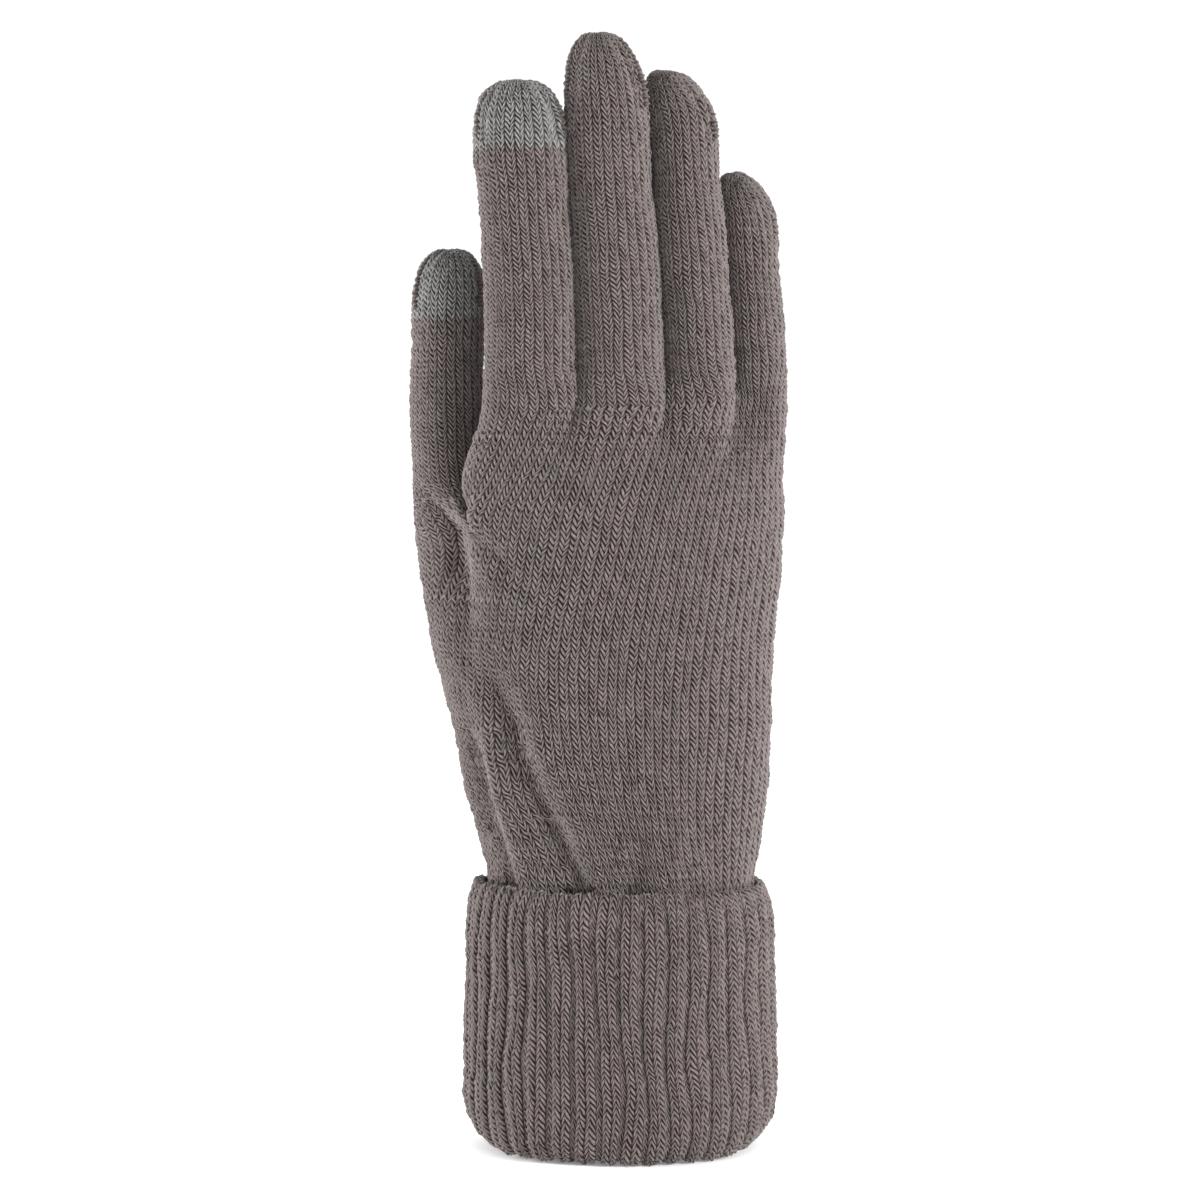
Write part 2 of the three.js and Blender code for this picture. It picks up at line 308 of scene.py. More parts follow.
def share(x, arc, at, palm):
    """How far round the loop, as a fraction, the faces pass x = at."""
    m = x.shape[1]
    out = np.empty(len(x))
    for r in range(len(x)):
        if palm:
            out[r] = np.interp(-at[r], -x[r, ::-1], np.append(arc[r, m - 1:2 * m - 2], 1.0))
        else:
            out[r] = np.interp(at[r], x[r], arc[r, :m])
    return out


def spread(borders, counts, blur_rows):
    """Fractions round the loop of every mesh column. borders are each row's fractions where the runs of
    wales part, the last a full turn after the first; counts are the wales of the runs."""
    at = running(counts)
    wales = np.arange(at[-1] * ACROSS + 1) / ACROSS
    exact = np.array([np.interp(wales, at, row) for row in borders])
    span = at[-1]
    soft = exact - wales[None, :] / span
    frequency = np.fft.rfftfreq(soft.shape[1] - 1, d=1 / ACROSS)[None, :]
    ring = blurred(soft[:, :-1], frequency, WALE_BLUR)
    soft = np.concatenate([ring, ring[:, :1]], axis=1) + wales[None, :] / span
    return mix(soft, exact, blur_rows[:, None])


def on_loops(loops, fractions, z):
    """Points at those fractions round each loop."""
    count = loops.shape[1]
    at = (fractions % 1.0) * count
    i = np.floor(at).astype(int) % count
    f = (at - np.floor(at))[:, :, None]
    rows = np.arange(len(loops))[:, None]
    xy = mix(loops[rows, i], loops[rows, (i + 1) % count], f)
    return np.concatenate([xy, np.broadcast_to(z[:, None, None], xy.shape[:2] + (1,))], axis=2)


def face_samples(left, right):
    turn = np.linspace(0, math.pi, FACE_POINTS)[None, :]
    return (left + right)[:, None] / 2 - (right - left)[:, None] / 2 * np.cos(turn)


def run_borders(x, arc, z, left_back, left_palm, right):
    """Fractions round each loop where the runs of wales part, from the thumb's border on the back."""
    back, palm = along(BORDERS_BACK, z), along(BORDERS_PALM, z)
    edge = right - OUTER_EDGE
    ats = [(left_back, False)] + [(back[:, i], False) for i in (1, 2, 3)] + [(edge, False)]
    ats += [(edge, True)] + [(palm[:, i], True) for i in (3, 2, 1)] + [(left_palm, True)]
    columns = [share(x, arc, at, side) for at, side in ats]
    return np.column_stack(columns + [columns[0] + 1])


HAND_RUNS = [BACK_WALES[n] for n in FINGERS] + [EDGE_WALES] + [PALM_WALES[n] for n in FINGERS[::-1]]


def lower_hand(z):
    """Base surface below the thumb's crotch: rows at z, columns round the hand and the thumb's root."""
    tx, ty, ta, tb = (v[:, None] for v in along(DIGITS["thumb"]["sections"], z).T)
    right = hand_edge(z)[:, 1]
    x = face_samples((tx - ta)[:, 0], right)
    back, palm = hand_faces(x, z)
    thumb = bulge(x, tx, ta, tb, 2.0)
    k = mix(7.0, 1.6, smooth(z, 108, THUMB_CROTCH))[:, None]
    back = soft_min(back, ty - thumb, k)
    palm = -soft_min(-palm, -(ty + thumb), k)
    loops, arc = loops_from_faces(x, back, palm, mix(2.0, 0.7, smooth(z, 110, THUMB_CROTCH)))
    lefts = along(BORDERS_BACK, z)[:, 0], along(BORDERS_PALM, z)[:, 0]
    borders = run_borders(x, arc, z, *lefts, right)
    fractions = spread(borders, HAND_RUNS + [THUMB_WALES], smooth(z, 96, THUMB_CROTCH))
    return on_loops(loops, fractions, z)


def web_line(a, b, wales):
    """Points on the straight web from a to b, one for each mesh column."""
    return mix(a[None, :], b[None, :], (np.arange(wales * ACROSS + 1) / (wales * ACROSS))[:, None])


def grown_from(start, rows, z, root, reach):
    """rows, but starting from the outline start at the root and reaching their own shape after reach."""
    w = smooth(z, root, root + reach)[:, None, None]
    drift = rows[:, :, :2].mean(axis=1, keepdims=True) - rows[:1, :, :2].mean(axis=1, keepdims=True)
    shape = rows.copy()
    shape[:, :, :2] = mix(start[None, :, :2] + drift, rows[:, :, :2], w)
    return shape


def upper_hand(z, start):
    """Base surface between the two crotches. start is its outline at the thumb's crotch."""
    edges = hand_edge(z)
    x = face_samples(edges[:, 0], edges[:, 1])
    back, palm = hand_faces(x, z)
    w = (smooth(z, CROTCH - VALLEY, CROTCH) ** 1.7)[:, None]
    back, palm = mix(back, arches(x, z, -1), w), mix(palm, arches(x, z, 1), w)
    loops, arc = loops_from_faces(x, back, palm, mix(2.8, 0.35, smooth(z, 150, CROTCH)))
    spread_out = mix(THUMB_SIDE, WEB_SPREAD, smooth(z, THUMB_CROTCH + 2, CROTCH - 4))
    borders = run_borders(x, arc, z, edges[:, 0] + spread_out, edges[:, 0] + THUMB_SIDE, edges[:, 1])
    fractions = spread(borders, HAND_RUNS + [WEB_WALES], smooth(z, 150, CROTCH))
    return grown_from(start, on_loops(loops, fractions, z), z, THUMB_CROTCH, THUMB_GROWN)


def digit_rows(name, z, wales, first):
    """Elliptical sections of a digit: one point for each mesh column, evenly spaced round each section.
    first is how far round from the digit's own right-hand side, in wales, the first column lies."""
    digit = DIGITS[name]
    apex = APEX[name]
    x, y, a, b = (v[:, None] for v in along(digit["sections"], z).T)
    tau = np.clip((z - (apex - digit["tip"])) / digit["tip"], 0, 1)[:, None]
    x = x - digit["skew"] * a * tau**2
    rounded = (1 - tau ** digit["full"]) ** (1 / digit["full"])
    a, b = a * mix(TIP_WIDTH, 1.0, rounded), b * mix(TIP_DEPTH, 1.0, rounded)
    turn = np.linspace(0, math.tau, 721)[None, :]
    ex, ey = a * np.cos(turn), b * np.sin(turn)
    steps = np.hypot(np.diff(ex), np.diff(ey))
    arc = np.concatenate([np.zeros((len(z), 1)), np.cumsum(steps, axis=1)], axis=1)
    columns = (first + np.arange(wales * ACROSS + 1) / ACROSS) / wales
    rows = np.empty((len(z), len(columns), 3))
    for r in range(len(z)):
        at = (columns % 1.0) * arc[r, -1]
        rows[r, :, 0] = x[r] + np.interp(at, arc[r], ex[r])
        rows[r, :, 1] = y[r] + np.interp(at, arc[r], ey[r])
        rows[r, :, 2] = z[r]
    return rows


def course_heights(name):
    """Heights of the digit's mesh rows: even courses along the middle of its back, over the rounded tip."""
    digit = DIGITS[name]
    z = np.linspace(digit["root"], APEX[name], 900)
    z = APEX[name] - (APEX[name] - z) ** 2 / (APEX[name] - digit["root"])
    middle = digit_rows(name, z, 1, 0.75)[:, 0, :]
    course = mix(FINGER_COURSE, TIP_COURSE, smooth(z[:-1], APEX[name] - 40, APEX[name] - 15))
    number = running(np.linalg.norm(np.diff(middle, axis=0), axis=1) / course)
    courses = int(number[-1])
    return np.interp(np.arange(courses * ALONG + 1) / ALONG, number / number[-1] * courses, z)


def stacked(low, high, course):
    """Heights of the mesh rows from low to high. course is the height of a course at each of many heights."""
    z = np.linspace(low, high, len(course))
    number = running(np.diff(z) / course[:-1])
    courses = round(number[-1])
    return np.interp(np.arange(courses * ALONG + 1) / ALONG, number / number[-1] * courses, z)


# ---- From a base surface to stitches ----
def surface_normals(rows):
    """Unit normals of a tube of points, whose last column is its first again."""
    ring = rows[:, :-1]
    step = np.roll(ring, -1, axis=1) - np.roll(ring, 1, axis=1)
    across = np.concatenate([step, step[:, :1]], axis=1)
    up = np.gradient(rows, axis=0)
    normal = np.cross(across, up)
    return normal / np.maximum(np.linalg.norm(normal, axis=2, keepdims=True), 1e-9)


def leg_distance(wales):
    """How far along its leg of the V each place lies: 0 at the lowest point and 1 at the wale's border."""
    across = wales % 1.0
    return np.where(across < APEX_AT, 1 - across / APEX_AT, (across - APEX_AT) / (1 - APEX_AT))


def wander(points):
    """A small drift of every point: the stitches differ in size, and their rows and wales waver."""
    a, z = points[..., 0] + 0.8 * points[..., 1], points[..., 2]
    b = points[..., 0] - 0.8 * points[..., 1]
    sideways = 0.14 * waves(a, z, 41, 12, 0.04, 0.20) + 0.11 * waves(0.4 * a, z, 42, 18, 0.2, 0.5)
    upwards = 0.13 * waves(b, z, 43, 12, 0.04, 0.20) + 0.27 * waves(b, 0.35 * z, 44, 20, 0.15, 0.45)
    return np.stack([sideways, 0.3 * sideways, upwards], axis=-1)


def sheared(values, shift):
    """values on mesh rows, read instead at each row plus the column's shift."""
    rows = len(values)
    at = np.clip(np.arange(rows)[:, None] + shift, 0, rows - 1)
    i = np.minimum(np.floor(at).astype(int), rows - 2)
    f = (at - i)[:, :, None]
    columns = np.arange(values.shape[1])[None, :]
    return mix(values[i, columns], values[i + 1, columns], f)


def yarn_relief(rows, wales):
    """How far out the yarn stands at every mesh vertex, from 0 in the grooves to 1. The narrow legs lie
    against each other in one smooth band."""
    legs, narrow = leg_distance(wales), smooth(wales % 1.0, APEX_AT, APEX_AT + 0.5 * (1 - APEX_AT))
    across = np.sin(math.pi * (np.arange(rows) % ALONG) / ALONG)[:, None] ** 0.8
    across = mix(across, 0.85, 0.35 * narrow[None, :])
    tucked = mix(0.35, 1.0, smooth(legs, -0.1, 0.4)) * mix(0.0, 1.0, smooth(1 - legs, 0.0, 0.25))
    return across * tucked[None, :]


class Knit:
    """A tube of stitches on a base surface. wales is where every mesh column lies in the knit pattern, from
    the lowest point of a V unless it is given, so that the crotches lie at such points. first_row is the
    number of the first mesh row in the pattern. A turned knit is upside down."""

    def __init__(self, rows, folds, first_row=0, fade_in=None, fade_out=False, wales=None, turned=False):
        count, columns = rows.shape[:2]
        self.first_row = first_row
        self.turned = turned
        self.wales = np.arange(columns) / ACROSS + APEX_AT if wales is None else wales
        rows = rows + wander(rows)
        rows = rows + surface_normals(rows) * folds(rows)[:, :, None]
        normals = surface_normals(rows)
        strength = np.ones((count, columns))
        if fade_in is not None:
            grown = smooth(np.arange(count), 0, CROTCH_FADE * ALONG)[:, None]
            strength = strength * mix(1.0, grown, fade_in[None, :])
        if fade_out:
            strength = strength * smooth(count - 1 - np.arange(count), 0, TIP_FADE * ALONG)[:, None]
        pattern = -self.wales if turned else self.wales
        legs = leg_distance(pattern)
        shift = SLANT * ALONG * legs[None, :] * strength * (-1 if turned else 1)
        self.base = sheared(rows, shift)
        self.normals = sheared(normals, shift)
        self.relief = yarn_relief(count, pattern)

    def piece(self, name, low, high, material, rides, node, slot_name, cap=False, seed=1):
        """The mesh rows from low to high as a closed fabric shell."""
        base = self.base[low:high + 1, :-1]
        normals = self.normals[low:high + 1, :-1]
        relief = self.relief[low:high + 1, :-1]
        uneven = 1 + UNEVEN * waves(base[..., 0] + 0.7 * base[..., 1], base[..., 2], seed, 11, 0.06, 0.42)
        outer = base + normals * (RELIEF * relief * uneven)[:, :, None]
        inner_rows = sorted({*range(0, len(base) - 1, 2 * ALONG), len(base) - 1})
        inner = (base - normals * FABRIC)[inner_rows]
        heights = (np.arange(len(base)) + low + self.first_row) / ALONG
        obj = shell(name, outer, inner, inner_rows, self.wales, heights, material, cap)
        attach(obj, rides, node)
        if self.turned:
            turn_uv(obj.data)


def ring_quads(a, b, flip=False):
    """Quads between two rings of vertex numbers."""
    quads = np.column_stack([a, np.roll(a, -1), np.roll(b, -1), b])
    return quads[:, ::-1] if flip else quads


def cap_quads(ring, flip=False):
    """Quads that close a flattened ring: the back's vertices joined to the palm's."""
    n = len(ring)
    half = n // 2
    quads = []
    for k in range(half):
        a, b = ring[k % n], ring[(k + 1) % n]
        c, d = ring[(n - k - 1) % n], ring[(n - k) % n]
        if len({a, b, c, d}) > 2:
            quads.append((a, b, c, d))
    quads = [q[::-1] for q in quads] if flip else quads
    return quads


def shell(name, outer, inner, inner_rows, wales, heights, material, cap):
    """A closed mesh from an outer grid and a coarser inner one that share their end rows."""
    rows, columns = outer.shape[:2]
    top = inner.shape[0]
    number = np.arange(rows * columns).reshape(rows, columns)
    lining = rows * columns + np.arange(top * columns).reshape(top, columns)
    quads = [ring_quads(number[r], number[r + 1]) for r in range(rows - 1)]
    quads += [ring_quads(lining[r], lining[r + 1], flip=True) for r in range(top - 1)]
    quads.append(ring_quads(lining[0], number[0]))
    quads = np.concatenate(quads)
    extra = []
    if cap:
        start = leftmost(outer[-1])
        extra = cap_quads(np.roll(number[-1], -start)) + cap_quads(np.roll(lining[-1], -start), flip=True)
    else:
        quads = np.concatenate([quads, ring_quads(number[-1], lining[-1])])
    vertices = np.concatenate([outer.reshape(-1, 3), inner.reshape(-1, 3)])
    obj = yarn_object(name, vertices, quads, extra, (wales, heights, inner_rows), material)
    crease_ends(obj.data, [number[0], lining[0]] + ([] if cap else [number[-1], lining[-1]]))
    return obj


def leftmost(ring):
    return int(np.argmin(ring[:, 0]))


def placed(name, data):
    """A new object in the scene."""
    obj = bpy.data.objects.new(name, data)
    bpy.context.scene.collection.objects.link(obj)
    return obj


def yarn_object(name, vertices, quads, extra, stitches, material):
    """A new object of yarn. stitches are the last arguments of lay_uv()."""
    mesh = bpy.data.meshes.new(name)
    build(mesh, vertices * MM, quads, extra)
    lay_uv(mesh, quads, *stitches)
    mesh.materials.append(material)
    mesh.shade_smooth()
    return placed(name, mesh)


def build(mesh, vertices, quads, extra):
    """Fills a mesh from arrays: quads first, then a list of extra faces."""
    loops = np.concatenate([quads.reshape(-1), np.array([i for face in extra for i in face], int)])
    sizes = np.concatenate([np.full(len(quads), 4), np.array([len(face) for face in extra], int)])
    starts = running(sizes[:-1])
    mesh.vertices.add(len(vertices))
    mesh.vertices.foreach_set("co", vertices.reshape(-1))
    mesh.loops.add(len(loops))
    mesh.loops.foreach_set("vertex_index", loops.astype(np.int32))
    mesh.polygons.add(len(sizes))
    mesh.polygons.foreach_set("loop_start", starts.astype(np.int32))
    mesh.update(calc_edges=True)
    mesh.validate()


def crease_ends(mesh, rings):
    """Marks the edges of the end rings as sharp, so that a piece's shading doesn't turn over its end."""
    ends = np.full(len(mesh.vertices), -1)
    for number, ring in enumerate(rings):
        ends[ring] = number
    pairs = np.empty(2 * len(mesh.edges), np.int32)
    mesh.edges.foreach_get("vertices", pairs)
    a, b = ends[pairs.reshape(-1, 2)].T
    sharp = mesh.attributes.new("sharp_edge", "BOOLEAN", "EDGE")
    sharp.data.foreach_set("value", (a >= 0) & (a == b))


def lay_uv(mesh, quads, wales, heights, inner_rows):
    """UVs in stitches: u counts wales and v counts courses, both running with the sheared mesh."""
    columns = len(wales) - 1
    v = np.concatenate([np.repeat(heights, columns), np.repeat(heights[inner_rows], columns)])
    u = np.tile(wales[:columns], len(heights) + len(inner_rows))
    index = np.empty(len(mesh.loops), np.int32)
    mesh.loops.foreach_get("vertex_index", index)
    uv = np.column_stack([u[index], v[index]])
    faces = uv[:4 * len(quads)].reshape(-1, 4, 2)
    span = wales[-1] - wales[0]
    wraps = np.ptp(faces[:, :, 0], axis=1) > span / 2
    low = faces[:, :, 0] < wales[0] + span / 2
    faces[:, :, 0] += np.where(wraps[:, None] & low, span, 0)
    layer = mesh.uv_layers.new(name="Stitches")
    layer.data.foreach_set("uv", uv.reshape(-1).astype(np.float32))


def turn_uv(mesh):
    """Turns the stitches' UVs upside down."""
    layer = mesh.uv_layers["Stitches"]
    uv = np.empty(2 * len(mesh.loops), np.float32)
    layer.data.foreach_get("uv", uv)
    layer.data.foreach_set("uv", -uv)


def attach(obj, rides, node):
    """Rides a piece on the body that rides names, or else bakes its transform where it stands, and hides the
    CAD node that it stands for.
    """
    if isinstance(rides, str):
        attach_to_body(obj, rides)
    else:
        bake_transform(obj)
    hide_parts(node)


# ---- Materials ----
class Nodes:
    """A short way to write a node tree: each call adds a node and returns its output."""

    def __init__(self, name):
        self.material = bpy.data.materials.new(name)
        self.material.use_nodes = True
        self.tree = self.material.node_tree
        self.tree.nodes.clear()

    def add(self, kind, inputs=(), output=0, **settings):
        node = self.tree.nodes.new(kind)
        for key, value in settings.items():
            setattr(node, key, value)
        for socket, value in dict(inputs).items():
            if isinstance(value, bpy.types.NodeSocket):
                self.tree.links.new(value, node.inputs[socket])
            else:
                node.inputs[socket].default_value = value
        return node.outputs[output] if node.outputs else None

    def math(self, operation, a, b=0.0):
        return self.add("ShaderNodeMath", {0: a, 1: b}, operation=operation)

    def mix(self, a, b, factor, blend_type="MIX"):
        return self.add("ShaderNodeMix", {0: factor, 6: a, 7: b}, output=2, data_type="RGBA",
                        blend_type=blend_type)

    def between(self, a, b, factor):
        return self.add("ShaderNodeMix", {0: factor, 2: a, 3: b}, data_type="FLOAT")

    def ramp(self, value, low, high, to_low=0.0, to_high=1.0):
        return self.add("ShaderNodeMapRange", {0: value, 1: low, 2: high, 3: to_low, 4: to_high},
                        interpolation_type="SMOOTHSTEP")

    def noise(self, vector, scale, detail=2.0, roughness=0.5):
        return self.add("ShaderNodeTexNoise", {"Vector": vector, "Scale": scale, "Detail": detail,
                                               "Roughness": roughness})

    def finish(self, shader):
        self.add("ShaderNodeOutputMaterial", {0: shader})
        return self.material


def rgb(r, g, b):
    """An sRGB colour, from 0 to 255, as linear RGBA."""
    parts = (r / 255, g / 255, b / 255)
    linear = [c / 12.92 if c <= 0.04045 else ((c + 0.055) / 1.055) ** 2.4 for c in parts]
    return (*linear, 1.0)


def yarn_coordinates(n):
    """Wales, courses, the place across the yarn from 0 in one groove to 1 in the next, the place along the
    leg of the V as leg_distance() has it, and 1 on the narrow leg."""
    uv = n.add("ShaderNodeUVMap", uv_map="Stitches")
    separate = n.add("ShaderNodeSeparateXYZ", {0: uv}).node
    u, v = separate.outputs[0], separate.outputs[1]
    across = n.math("FRACT", u)
    left = n.math("SUBTRACT", 1.0, n.math("DIVIDE", across, APEX_AT))
    right = n.math("DIVIDE", n.math("SUBTRACT", across, APEX_AT), 1 - APEX_AT)
    narrow = n.ramp(across, APEX_AT - 0.06, APEX_AT + 0.06)
    return u, v, n.math("FRACT", v), n.math("MAXIMUM", left, right), narrow


# Painted highlight: the factor by which the crests of the yarn are brightened over its colours, against the
# painted shade of the gaps.
PAINTED_CREST_LIGHT = 1.58  # of the yarn between its dark gaps, over the colours it is given


def yarn_material(name, warm, cool, light, gap=rgb(34, 21, 21), sheen=0.26, roughness=0.92):
    """Melange yarn: two tones that drift over a few stitches, and pale fibres that also paint highlights
    along the strands. The yarn's light and shade are painted into its colour: the crests are brightened as a
    painted highlight, and the gaps between the yarns are painted dark as shade, wide between the wide legs of
    the Vs and thin between the narrow ones."""
    n = Nodes(name)
    place = n.add("ShaderNodeTexCoord", output=3)
    u, v, across, leg, narrow = yarn_coordinates(n)
    drift = n.ramp(n.noise(place, 290.0, 4.0, 0.65), 0.42, 0.70)
    colour = n.mix(warm, cool, drift)
    fibres = n.add("ShaderNodeCombineXYZ", {0: n.math("MULTIPLY", u, 4.0), 1: n.math("MULTIPLY", v, 9.0)})
    strand = n.noise(fibres, 1.0, 4.0, 0.7)
    # Pale fibres along the strands, which also stand in for the yarn's highlights as painted highlight; then
    # darker fibres.
    colour = n.mix(colour, light, n.ramp(strand, 0.46, 0.72, 0.0, 0.6))
    colour = n.mix(colour, rgb(34, 28, 27), n.ramp(strand, 0.48, 0.28, 0.0, 0.5))
    stitch = n.add("ShaderNodeCombineXYZ", {0: n.math("FLOOR", n.math("ADD", u, 1 - APEX_AT)),
                                            1: n.math("FLOOR", v), 2: narrow})
    chance = n.add("ShaderNodeTexWhiteNoise", {"Vector": stitch}, noise_dimensions="3D")
    # The mask of painted light and shade across every yarn: crown is 1 on the yarn's crest and falls to 0 in
    # the gaps between yarns, and tucked darkens the ends of the legs at the wale's borders and the bottom of
    # each V.
    crest = n.math("SINE", n.math("MULTIPLY", across, math.pi))
    crest = n.math("ADD", crest, n.ramp(n.noise(place, 420.0, 1.0, 0.5), 0.3, 0.7, -0.08, 0.08))
    crest = n.math("ADD", crest, n.ramp(chance, 0.0, 1.0, -0.13, 0.13))
    wide = n.ramp(crest, 0.38, 0.94)
    thin = n.ramp(crest, 0.16, 0.80, 0.06, 1.0)
    crown = n.between(wide, thin, narrow)
    end_of_wide = n.ramp(leg, 1.02, 0.74, 0.05, 1.0)
    end_of_narrow = n.ramp(leg, 1.02, 0.62, 0.22, 1.0)
    tucked = n.between(end_of_wide, end_of_narrow, narrow)
    tucked = n.math("MULTIPLY", tucked, n.ramp(leg, -0.1, 0.25, 0.5, 1.0))
    # Painted highlight and painted shade: the crowns take the yarn's colour brightened, and the gaps and
    # tucked ends take the dark gap colour.
    colour = n.mix(colour, (PAINTED_CREST_LIGHT, PAINTED_CREST_LIGHT, PAINTED_CREST_LIGHT, 1.0), 1.0, "MULTIPLY")
    colour = n.mix(gap, colour, n.math("MULTIPLY", crown, tucked))
    fuzz = n.noise(place, 2600.0, 2.0, 0.6)
    height = n.math("ADD", n.math("MULTIPLY", strand, 0.8), n.math("MULTIPLY", fuzz, 0.4))
    bump = n.add("ShaderNodeBump", {"Strength": 0.7, "Distance": 0.00028, "Height": height})
    shader = n.add("ShaderNodeBsdfPrincipled", {
        "Base Color": colour, "Roughness": roughness, "Sheen Weight": sheen, "Sheen Roughness": 0.45,
        "Sheen Tint": (1.0, 0.95, 0.94, 1.0), "Specular IOR Level": 0.18, "Normal": bump})
    return n.finish(shader)


def rubber_material():
    """Thin covered elastic: pale rubber with the ridges of its covering thread."""
    n = Nodes("covered elastic")
    place = n.add("ShaderNodeTexCoord", output=3)
    grain = n.noise(place, 1500.0, 3.0, 0.6)
    colour = n.mix(rgb(176, 170, 160), rgb(205, 200, 190), n.ramp(grain, 0.35, 0.65))
    bump = n.add("ShaderNodeBump", {"Strength": 0.5, "Distance": 0.0002, "Height": grain})
    shader = n.add("ShaderNodeBsdfPrincipled", {"Base Color": colour, "Roughness": 0.6, "Normal": bump})
    return n.finish(shader)


# The third colour of each yarn is its pale fibres, partly painted highlight; the fourth, where given, is the
# painted shade in the gaps between its yarns.
JERSEY = yarn_material("jersey", rgb(85, 77, 76), rgb(79, 76, 74), rgb(145, 135, 132))
TOUCH = yarn_material("touch yarn", rgb(98, 97, 96), rgb(95, 95, 93), rgb(158, 156, 155),
                      rgb(40, 38, 40), 0.24, 0.8)
RIB = yarn_material("rib", rgb(85, 76, 75), rgb(78, 75, 73), rgb(143, 133, 130))
THREAD = yarn_material("linking thread", rgb(72, 65, 63), rgb(66, 64, 61), rgb(120, 112, 108),
                       rgb(60, 50, 48), 0.3)
RUBBER = rubber_material()


# ---- Folds and unevenness of the worn fabric ----
# Each fold on the back of the hand: its points as (x, z), how deep it is pressed in (negative stands out) and
# how wide it is. The creases beside the tip seams are added to it below.
FOLDS = [
    ([(-31.6, 113), (-27.5, 102), (-22.8, 89), (-15.8, 74.5), (-8.8, 61)], 3.0, 4.3),
    ([(-35.5, 97), (-31.2, 80), (-27.4, 69), (-24.4, 60)], 2.3, 2.8),
    ([(-34.0, 112), (-30.6, 94), (-26.2, 75), (-21.6, 60)], -1.3, 2.0),
    ([(-22.0, 98), (-14.0, 80), (-8.0, 67), (-4.0, 59)], -1.2, 2.8),
    ([(4.0, 74), (3.0, 59)], 1.7, 3.2),
    ([(9.5, 78), (10.5, 60)], -0.6, 3.0),
    ([(16.0, 84), (20.0, 66), (22.0, 58)], 0.7, 3.6),
    ([(-33.5, 137.5), (-29.0, 134), (-25.0, 129)], 0.8, 1.5),
    ([(-33.5, 134.5), (-29.5, 128)], -0.6, 1.4),
]


# The line along which the hand's edge bulges over the thumb's crotch, as (x, z), and how far.
CROTCH_BULGE = [(-26.0, 172), (-30.0, 160), (-32.6, 149), (-32.8, 141.5)]
BULGE_HEIGHT = 2.4
BULGE_WIDTH = 3.4


def near_line(x, z, points, width):
    """How close x, z lies to a line through points, from 0 to 1 on it, fading out towards its ends."""
    best = np.zeros(x.shape)
    lengths = [math.dist(a, b) for a, b in zip(points, points[1:])]
    before = 0.0
    for (a, b), length in zip(zip(points, points[1:]), lengths):
        dx, dz = (b[0] - a[0]) / length, (b[1] - a[1]) / length
        reach = (x - a[0]) * dx + (z - a[1]) * dz
        held = np.clip(reach, 0, length)
        off = np.hypot(x - a[0] - held * dx, z - a[1] - held * dz)
        taper = smooth((before + held) / sum(lengths), 0.0, 0.25)
        best = np.maximum(best, np.exp(-(off / width) ** 2) * taper)
        before += length
    return best


def digit_folds(rows):
    """How far every point of the fabric moves along its normal."""
    x, y, z = rows[..., 0], rows[..., 1], rows[..., 2]
    back = smooth(-y, -6.0, 2.0)
    out = 0.35 * waves(x + 0.6 * y, z, 11, 7, 0.012, 0.05)
    for points, depth, width in FOLDS:
        out = out - depth * near_line(x, z, points, width) * back
    return out


def hand_folds(rows):
    """The same, and the soft bulge of the hand's edge over the thumb's crotch."""
    x, y, z = rows[..., 0], rows[..., 1], rows[..., 2]
    lobe = near_line(x, z, CROTCH_BULGE, BULGE_WIDTH) * smooth(-y, -8.0, 0.0) * smooth(-z, -163, -148)
    return digit_folds(rows) + BULGE_HEIGHT * lobe


# ---- The glove's surfaces ----
def runs_of(counts):
    """(first, last) mesh column of each run of wales."""
    edges = running(counts) * ACROSS
    return list(zip(edges[:-1], edges[1:]))


def take(rows, run):
    return rows[..., run[0]:run[1] + 1, :]


def join(parts):
    """Side-by-side runs of columns as one, each sharing its border column with the next."""
    return np.concatenate([part[..., :-1, :] for part in parts[:-1]] + [parts[-1]], axis=-2)


def rest_of_loop(rows):
    """Makes the last column the same as the first."""
    rows = rows.copy()
    rows[..., -1, :] = rows[..., 0, :]
    return rows


CONTEXT = 2 * ALONG  # rows of the next surface that a surface's last rows are sheared into
INDEX_TURN = 1.6  # wales by which the index finger's back is turned, as the web takes up its left

low_z = stacked(HAND_LOW, THUMB_CROTCH, mix(WRIST_COURSE, COURSE, smooth(np.linspace(0, 1.6, 400))))
high_z = stacked(THUMB_CROTCH, CROTCH, np.linspace(COURSE, FINGER_COURSE, 400))

low_rows = lower_hand(low_z)
low_runs = runs_of(HAND_RUNS + [THUMB_WALES])
crotch_row = low_rows[-1]
hand_start = take(crotch_row, (0, low_runs[8][1]))
thumb_start = take(crotch_row, low_runs[9])
back_notch, palm_notch = thumb_start[-1], thumb_start[0]
web = web_line(palm_notch, back_notch, WEB_WALES)
high_rows = upper_hand(high_z, join([hand_start, web]))
high_runs = runs_of(HAND_RUNS + [WEB_WALES])

thumb_total = THUMB_WALES + WEB_WALES
thumb_z = course_heights("thumb")
thumb_target = digit_rows("thumb", thumb_z, thumb_total, 0.39 * thumb_total - THUMB_WALES / 2)
thumb_rows = grown_from(join([thumb_start, web[::-1]]), thumb_target, thumb_z, THUMB_CROTCH, THUMB_GROWN)
thumb_runs = runs_of([THUMB_WALES, WEB_WALES])

